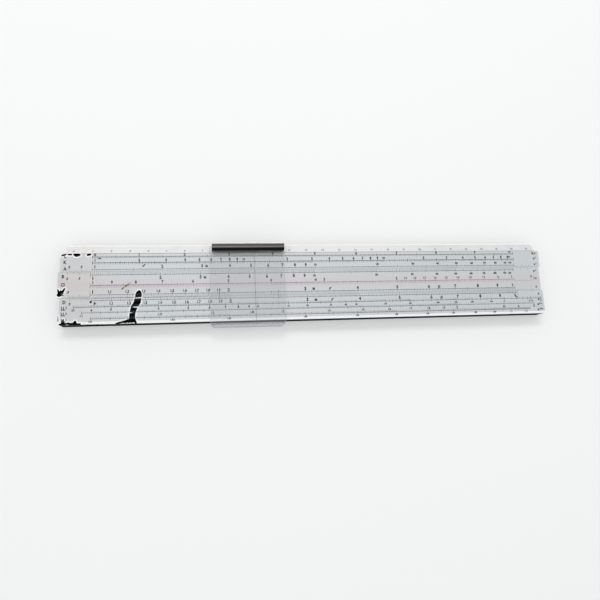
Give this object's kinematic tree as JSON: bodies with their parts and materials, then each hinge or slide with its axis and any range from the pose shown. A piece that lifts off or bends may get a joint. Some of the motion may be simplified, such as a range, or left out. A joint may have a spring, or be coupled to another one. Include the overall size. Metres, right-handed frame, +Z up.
{
  "type": "slide rule",
  "caption": "Closed-back slide rule: a stock with one bevelled edge, a tongued slide between its two rails, and a clear cursor that runs on grooves along the rails.",
  "frame": {"origin": "middle of the rule's box, on the surface that the rule lies on", "axes": "+X along the rule to its right end, +Y across it to the bevelled edge, +Z up out of the face that carries the scales"},
  "size_m": [0.2858, 0.0488, 0.0122],
  "materials": {
    "dark_core": "near-black moulded plastic, satin",
    "white_facing": "aged white plastic with printed scales, satin, stained and worn",
    "clear_acrylic": "clear, lightly scratched",
    "dark_runner": "dark, glossy, rubbed at the edges",
    "back_aluminium": "brushed along its length",
    "steel": "plain, lightly worn"
  },
  "bodies": {
    "stock": {"upper_rail": "dark_core", "lower_rail": "dark_core", "upper_facing": "white_facing", "lower_facing": "white_facing", "bevel_facing": "white_facing", "well_facing": "white_facing", "back_plate": "back_aluminium", "left_index_window": "clear_acrylic", "right_index_window": "clear_acrylic", "back_plate_screw_01": "steel", "back_plate_screw_02": "steel", "back_plate_screw_03": "steel", "back_plate_screw_04": "steel", "back_plate_screw_05": "steel", "back_plate_screw_06": "steel", "back_plate_screw_07": "steel", "back_plate_screw_08": "steel", "back_plate_screw_09": "steel", "back_plate_screw_10": "steel", "back_plate_screw_11": "steel", "back_plate_screw_12": "steel"},
    "slide": {"slide_core": "dark_core", "slide_facing": "white_facing", "slide_back_facing": "white_facing"},
    "cursor": {"cursor_pane": "clear_acrylic", "lower_runner": "clear_acrylic", "upper_runner": "dark_runner", "cursor_spring": "steel"}
  },
  "joints": [
    {"name": "slide_travel", "type": "slide", "parent": "stock", "child": "slide", "axis": [1, 0, 0], "range_m": [-0.24905, 0.25095]},
    {"name": "cursor_travel", "type": "slide", "parent": "stock", "child": "cursor", "axis": [1, 0, 0], "range_m": [-0.0901, 0.1699]}
  ]
}
